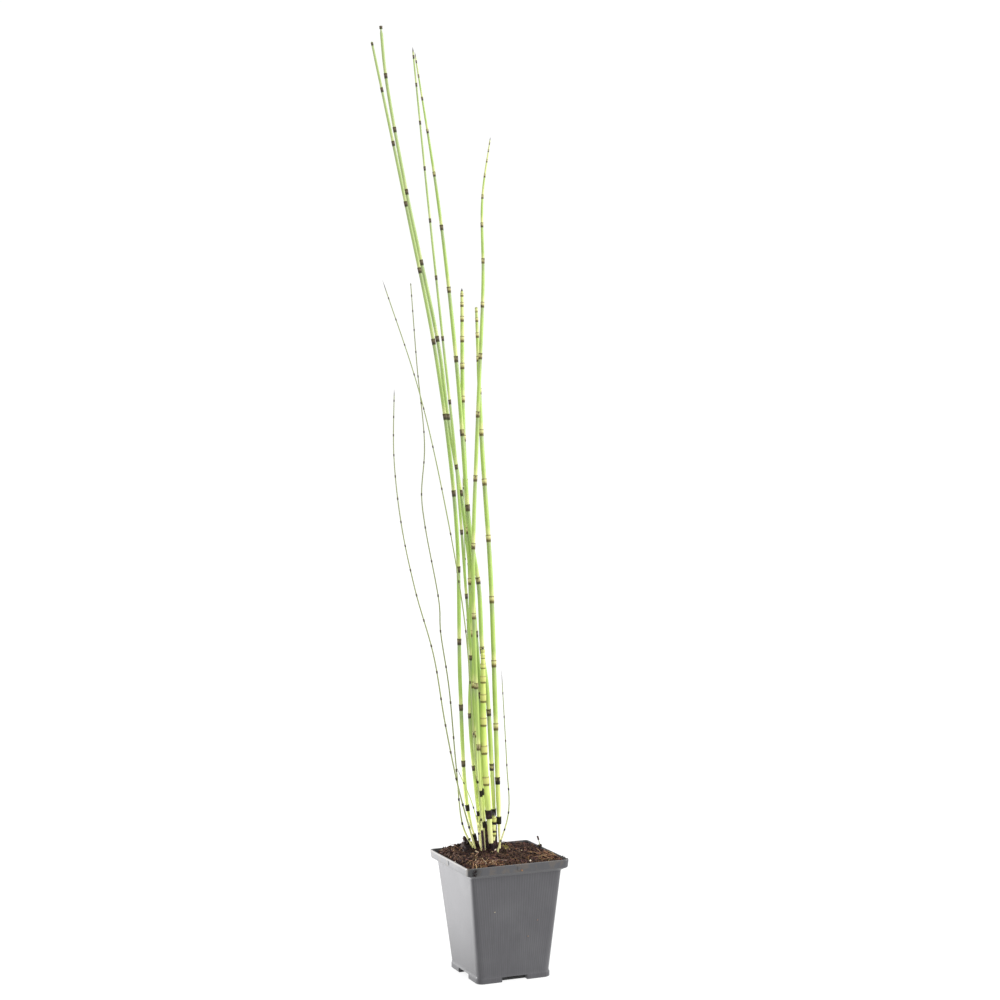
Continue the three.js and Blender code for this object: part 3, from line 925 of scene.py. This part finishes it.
def cups_of(stem, route, joints, halves):
    """The sheaths of a stem, its husks first: start, height, radius and tone of each."""
    skin_tone, cup_tone = stem["looks"]
    wiry = stem["radii"][0] < WIRY
    cups = list(stem.get("husks", []))
    for joint, half in zip(joints[1:-1], halves[1:-1]):
        width = full_radius(stem, route, joint) * (1.15 if wiry else 0.95)
        start = joint - half * (0.3 if skin_tone == YELLOW else 1)
        cups.append((start, 2 * half * (0.8 if wiry else 1), width, cup_tone))
    if "dark" in stem:
        cups[-1] = (*cups[-1][:3], -0.75)
    if "broken" in stem:
        cups.append((route.length - 2.5, 2.5, 0.9 * stem["radii"][1], cup_tone))
    return cups


def put_on(body, model, route, start, tall, width, tone):
    """Adds a copy of a sheath to a stem in the making, at a distance along it."""
    place = Matrix.Translation(route.at(start)) @ route.turn(start + tall / 2)
    place = Matrix.Scale(MM, 4) @ place @ Matrix.Diagonal((width, width, tall, 1))
    cup = model.copy()
    heights = [min(max(point.co.z, 0), 1) for point in cup.vertices]
    cup.transform(place)
    first, first_face = len(body.verts), len(body.faces)
    body.from_mesh(cup)
    bpy.data.meshes.remove(cup)
    body.verts.ensure_lookup_table()
    body.faces.ensure_lookup_table()
    along_of = body.verts.layers.float["along"]
    tone_of = body.verts.layers.float["tone"]
    for point, height in zip(body.verts[first:], heights):
        point[along_of] = height
        point[tone_of] = tone
    for face in body.faces[first_face:]:
        face.material_index = 1


def grow(name, stem, finishes):
    """A stem with its sheaths, in place of the plain solid of the same name."""
    route = Route(stem["route"])
    points = WIRY_POINTS if stem["radii"][0] < WIRY else STEM_POINTS
    joints = joint_places(stem, route.length)
    halves = sheath_halves(stem, route, joints)
    stations = stations_of(stem, route, joints, halves)
    places = [(route.at(distance), radius) for distance, radius, _, _ in stations]
    piece = sweep(name + "_grown", PROFILES[points], places)
    rings = [stations[-1], stations[0], *stations]  # the two end caps have points of their own
    values = [rings[point.index // points] for point in piece.data.vertices]
    add_values(
        piece.data,
        along=[along for _, _, along, _ in values],
        bud=[bud for _, _, _, bud in values],
        tone=[stem["looks"][0]] * len(values),
    )
    piece.data.materials.clear()
    for finish in finishes:
        piece.data.materials.append(finish)
    body = bmesh.new()
    body.from_mesh(piece.data)
    for cup in cups_of(stem, route, joints, halves):
        put_on(body, SHEATHS[points], route, *cup)
    bmesh.ops.remove_doubles(body, verts=body.verts, dist=1e-7)
    body.to_mesh(piece.data)
    body.free()
    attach(piece, "root")
    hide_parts(name)
    smooth(piece, 60)
    return piece


def skin_finish(name, under, fresh, green, blue):
    """The skin of a stem: pale above each sheath, green, and bluer under the next one.

    The tone lets the colour under the green through, and one below 0 makes the skin dull, as on
    the wiry stems. Close to the peat a stem is bleached, and a bud is nearly black.
    """
    skin = Finish(bpy.data.materials.new(name))
    along = skin.add("Attribute", {"attribute_name": "along"}, {}, "Fac")
    tone = skin.add("Attribute", {"attribute_name": "tone"}, {}, "Fac")
    bud = skin.add("Attribute", {"attribute_name": "bud"}, {}, "Fac")
    patches = skin.clouds(0.006, 3, (1, 1, 4))
    hair = skin.clouds(0.0005, 2, (1, 1, 12))
    shade = along + 0.3 * (patches - 0.5)
    colour = skin.ramp(shade, (0.03, fresh), (0.2, green), (0.7, green), (0.97, blue))
    low = 1 - skin.axis("Z").rise(0.108, 0.145)
    aged = (1 - tone.rise(0.22, 0.34)) * skin.axis("Z").rise(0.3, 0.7) * 0.6
    colour = skin.tint(aged, colour, (0.34, 0.41, 0.2))
    # Painted light: low down, where the stems of the clump shade one another, the skin is made
    # paler and brighter.
    painted_clump_light = (0.8 - 0.2 * tone.rise(0.6, 1)) * (1 - skin.axis("Z").rise(0.12, 0.23))
    colour = skin.tint(painted_clump_light, colour, (0.74, 0.84, 0.25))
    colour = skin.tint(0.35 * tone, colour, under)
    colour = skin.tint(0.85 * low, colour, (0.95, 0.9, 0.46))
    colour = skin.tint(patches.rise(0.45, 0.75) * 0.35, colour, (0.17, 0.27, 0.05))
    colour = skin.tint((hair - 0.35) * 0.35, colour, (0.6, 0.72, 0.3))
    colour = skin.tint(0 - tone - low, colour, (0.24, 0.275, 0.1))
    colour = skin.tint(bud, colour, (0.022, 0.013, 0.014))
    return skin.surface(colour, 0.36 + 0.2 * hair, hair, 0.00008)


STEM_SKIN = skin_finish(
    "stem_green", (0.8, 0.78, 0.26), (0.52, 0.58, 0.2), (0.28, 0.46, 0.075), (0.2, 0.31, 0.12)
)
SHOOT_SKIN = skin_finish(
    "shoot_yellow", (0.6, 0.68, 0.14), (0.66, 0.68, 0.21), (0.45, 0.66, 0.11), (0.39, 0.58, 0.11)
)
# A sheath is yellow on a shoot. On a stem it is tan between a brown foot and rim, or worn dark
# all over. A tone below 0 makes it a withered husk, nearly black.
cuff = Finish(bpy.data.materials.new("sheath_brown"))
height = cuff.add("Attribute", {"attribute_name": "along"}, {}, "Fac")
freshness = cuff.add("Attribute", {"attribute_name": "tone"}, {}, "Fac")
wear = cuff.clouds(0.003, 3)
streak = cuff.clouds(0.0005, 2, (1, 1, 8))
up = height + 0.25 * (streak - 0.5)
worn = cuff.ramp(
    up,
    (0.0, (0.075, 0.08, 0.032)),
    (0.2, (0.042, 0.038, 0.02)),
    (0.6, (0.135, 0.108, 0.068)),
    (0.85, (0.07, 0.055, 0.022)),
)
tan = cuff.ramp(
    up,
    (0.0, (0.2, 0.19, 0.07)),
    (0.14, (0.075, 0.066, 0.018)),
    (0.32, (0.2, 0.165, 0.06)),
    (0.48, (0.44, 0.4, 0.17)),
    (0.8, (0.62, 0.62, 0.27)),
    (0.9, (0.24, 0.19, 0.09)),
)
crisp = cuff.ramp(
    up,
    (0.08, (0.2, 0.2, 0.05)),
    (0.16, (0.11, 0.085, 0.03)),
    (0.26, (0.55, 0.56, 0.17)),
    (0.84, (0.6, 0.62, 0.2)),
    (0.95, (0.3, 0.25, 0.1)),
)
rooted = 1 - cuff.axis("Z").rise(0.158, 0.176)
paler = (freshness + 0.9 * (wear - 0.5) - 0.5 * rooted).rise(0.35, 0.65)
worn = cuff.tint(rooted * 0.92, worn, (0.009, 0.008, 0.004))
husk = cuff.tint(freshness.rise(0.93, 0.99), cuff.tint(paler, worn, tan), crisp)
withered = cuff.ramp(
    0.5 * wear + 0.5 * streak,
    (0.4, (0.006, 0.003, 0.004)),
    (0.55, (0.03, 0.014, 0.017)),
    (0.68, (0.13, 0.075, 0.06)),
)
husk = cuff.tint(0 - freshness, husk, withered)
dull = {"Specular IOR Level": 0.18}
SHEATH_BROWN = cuff.surface(husk, 0.55 + 0.2 * streak, streak, 0.0001, **dull)

for name, stem in STEMS.items():
    shoot = name.startswith("shoot")
    dead = name.startswith("stub")
    skin = SHOOT_SKIN if shoot else SHEATH_BROWN if dead else STEM_SKIN
    piece = grow(name, stem, [skin, SHEATH_BROWN])
for profile in PROFILES.values():
    bpy.data.objects.remove(profile)
for sheath in SHEATHS.values():
    bpy.data.meshes.remove(sheath)


# ---- Litter ----
# What has fallen or grown on the peat: brown fibres and bits of straw, some over the rim, a dead
# crown at the left of the clump, grains of perlite and a little moss. Crumbs lie on the rim, a few
# specks stick to the walls, and wet peat is smeared on the front of the collar.
STRAND_STEPS = 6


def strand(seed):
    """A wandering strand of unit length and half-width, which stands along Z."""
    wander = random.Random(seed)
    bpy.ops.mesh.primitive_circle_add(vertices=3, radius=1, fill_type="NGON")
    fibre = bpy.context.object
    bpy.ops.object.mode_set(mode="EDIT")
    bpy.ops.mesh.select_all(action="SELECT")
    drift = Vector((0, 0, 1 / STRAND_STEPS))
    for _ in range(STRAND_STEPS):
        drift += Vector((wander.uniform(-1, 1), wander.uniform(-1, 1), 0))
        bpy.ops.mesh.extrude_region_move(TRANSFORM_OT_translate={"value": drift})
    bpy.ops.transform.resize(value=(0.3, 0.3, 1))
    bpy.ops.mesh.select_all(action="SELECT")
    bpy.ops.mesh.normals_make_consistent(inside=False)
    bpy.ops.object.mode_set(mode="OBJECT")
    mesh = fibre.data
    bpy.data.objects.remove(fibre)
    return mesh


def laid(x, y, z, yaw, slope, length, width):
    """The place of a strand that starts at a point and runs off at an angle and a slope."""
    turn = Matrix.Rotation(yaw, 4, "Z") @ Matrix.Rotation(math.pi / 2 - slope, 4, "Y")
    size = Matrix.Diagonal((width, width, length, 1))
    return Matrix.Scale(MM, 4) @ Matrix.Translation((x, y, z)) @ turn @ size


FIBRES = 260
STRAWS = 60  # on the right, and as many at the front left
FIBRE_REACH = 42.5
chance = random.Random(23)
strands = [strand(seed) for seed in range(6)]
fibres = []


def lay(x, y, length, width, tone, lift=0.4):
    """Adds a fibre that lies on the peat and is turned to stay inside the rim."""
    x = max(-FIBRE_REACH, min(FIBRE_REACH, x))
    y = max(-FIBRE_REACH, min(FIBRE_REACH, y))
    yaw = chance.uniform(0, 2 * math.pi)
    end = (x + length * math.cos(yaw), y + length * math.sin(yaw))
    if max(abs(end[0]), abs(end[1])) > FIBRE_REACH:
        yaw += math.pi
    slope = chance.uniform(-0.1, 0.35)
    place = laid(x, y, soil_surface(x, y) + lift, yaw, slope, length, width)
    fibres.append((chance.choice(strands), place, tone))


for _ in range(FIBRES):
    x, y = chance.uniform(-42, 42), chance.uniform(-42, 42)
    lay(x, y, chance.uniform(2.5, 7), chance.uniform(0.1, 0.22), chance.uniform(0.35, 0.85))
for _ in range(STRAWS):
    x, y = chance.gauss(38, 6), chance.gauss(-18, 8)
    lay(x, y, chance.uniform(3, 8), 0.24, chance.uniform(0.72, 0.88), 0.8)
for _ in range(STRAWS):
    x, y = chance.gauss(-24, 6), chance.gauss(-28, 6)
    lay(x, y, chance.uniform(3, 8), 0.24, chance.uniform(0.68, 0.92), 0.8)
# Two chips of straw at the foot of the clump, then five straws by the left and the front rim,
# three of them over it: the mesh, where it starts and ends, its half-width and its tone.
for shape, start, end, width, tone in (
    (lumps[0], (-20.9, -2.9, 104.4), (-19.8, -5.2, 103.6), 0.6, 0.93),
    (lumps[1], (-5.6, -3.7, 104), (-9.3, -7.2, 103.5), 0.6, 0.93),
    (strands[0], (-39, -4, 98.6), (-45.6, -8.6, 99.6), 0.3, 0.98),
    (strands[0], (-33, -31, 100.6), (-36.4, -42.5, 99.4), 0.42, 0.84),
    (strands[0], (-32.6, -24, 100.4), (-36.8, -35.5, 99.8), 0.38, 0.8),
    (strands[0], (-30, -35, 99.6), (-34, -46.1, 99.4), 0.24, 0.84),
    (strands[0], (-26, -38, 99.6), (-29, -46, 100.2), 0.2, 0.8),
):
    away = Vector(end) - Vector(start)
    yaw = math.atan2(away.y, away.x)
    slope = math.asin(away.z / away.length)
    fibres.append((shape, laid(*start, yaw, slope, away.length, width), tone))
strew("peat_fibres", fibres, bits.block)

# Clods by place, size and tone: the dead crown, crumbs on the rear and the right rim, perlite,
# and specks on the walls.
clods = []
for x, y, z, size, tone in (
    (-24.6, 13.2, 112.2, 1.8, 0.1),
    (-21.4, 12, 112.4, 1.5, 0.1),
    (-23.6, 12.8, 109.6, 3, 0),
    (-25.6, 13.5, 107, 3.4, 0.1),
    (-21, 12, 108, 2.6, 0),
    (-22.5, 12.5, 105.4, 3.6, 0),
    (-25, 8, 105, 4, 0),
    (-20.6, 5.5, 103.6, 2.2, 0.1),
    (-28, 4.5, 103, 3.6, 0),
    (-24, 2.5, 103, 3.4, 0),
    (-29, 0, 101.6, 3.2, 0.1),
    (-24.5, -3, 101.6, 2.8, 0),
    (-33, 44.9, 100.1, 0.9, 0.1),
    (-31, 44.9, 100.2, 0.7, 0.3),
    (-22.6, 45, 100.3, 1, 0.1),
    (-20.2, 44.7, 100.5, 1.3, 0.2),
    (-17.4, 44.4, 100.8, 1.8, 0.1),
    (-15, 44, 101, 2, 0.3),
    (44.6, 13.4, 101.2, 1.5, 0.1),
    (43.8, 15.2, 100.4, 1.1, 0.3),
    (45.2, -32.6, 100.4, 0.7, 0),
    (44.9, -36.8, 100.4, 0.6, 0.2),
    (44.6, -43.6, 100.3, 0.6, 0.1),
    (16.8, -28.8, 98.2, 1, 1),
    (10, -0.2, 103.2, 0.7, 0.8),
    (25.5, 3.7, 100.6, 0.6, 0.78),
    (21.4, 0.5, 101, 0.6, 0.92),
    (-22.7, -27, 100.2, 0.8, 0.95),
    (-16, -26.5, 99.6, 0.9, 0.9),
    (-19.2, -38.2, 60.6, 0.4, 0.95),
    (19.4, -37.1, 49.9, 0.4, 0.85),
    (11.1, -35.9, 36.9, 0.4, 0.85),
    (2.4, -45.6, 94.9, 0.8, 0.8),
):
    spread = Matrix.Diagonal((1.1, 1, 0.9, 1)) @ Matrix.Scale(size, 4)
    place = Matrix.Scale(MM, 4) @ Matrix.Translation((x, y, z)) @ turned(chance) @ spread
    clods.append((chance.choice(lumps), place, tone))
SMEAR_CRUMBS = 44
COLLAR_FRONT = -RIM_SIDE / 2 + 0.2
for _ in range(SMEAR_CRUMBS):
    x, z = max(chance.gauss(-39.8, 1.3), -42.2), min(chance.gauss(96.4, 1.6), 99)
    place = Matrix.Scale(MM, 4) @ Matrix.Translation((x, COLLAR_FRONT, z)) @ turned(chance)
    place @= Matrix.Scale(chance.uniform(0.22, 0.44), 4)
    clods.append((chance.choice(lumps), place, chance.uniform(0, 0.08)))
strew("peat_clods", clods, bits.block)

moss = Finish(bpy.data.materials.new("moss"))
leaf = moss.clouds(0.0015, 3)
mossy = moss.ramp(leaf, (0.4, (0.06, 0.05, 0.014)), (0.6, (0.55, 0.46, 0.13)))
moss.surface(mossy, 0.8, leaf, 0.0003)
MOSS_LEAVES = 50
tufts = []
for _ in range(MOSS_LEAVES):
    x, y = chance.gauss(10.5, 1.5), chance.gauss(8.5, 1.8)
    slope = chance.uniform(0.4, 1.5)
    yaw, length = chance.uniform(0, 6.3), chance.uniform(1.5, 3)
    place = laid(x, y, soil_height(x, y), yaw, slope, length, 0.2)
    tufts.append((chance.choice(strands), place, 0.5))
strew("moss_tuft", tufts, moss.block)
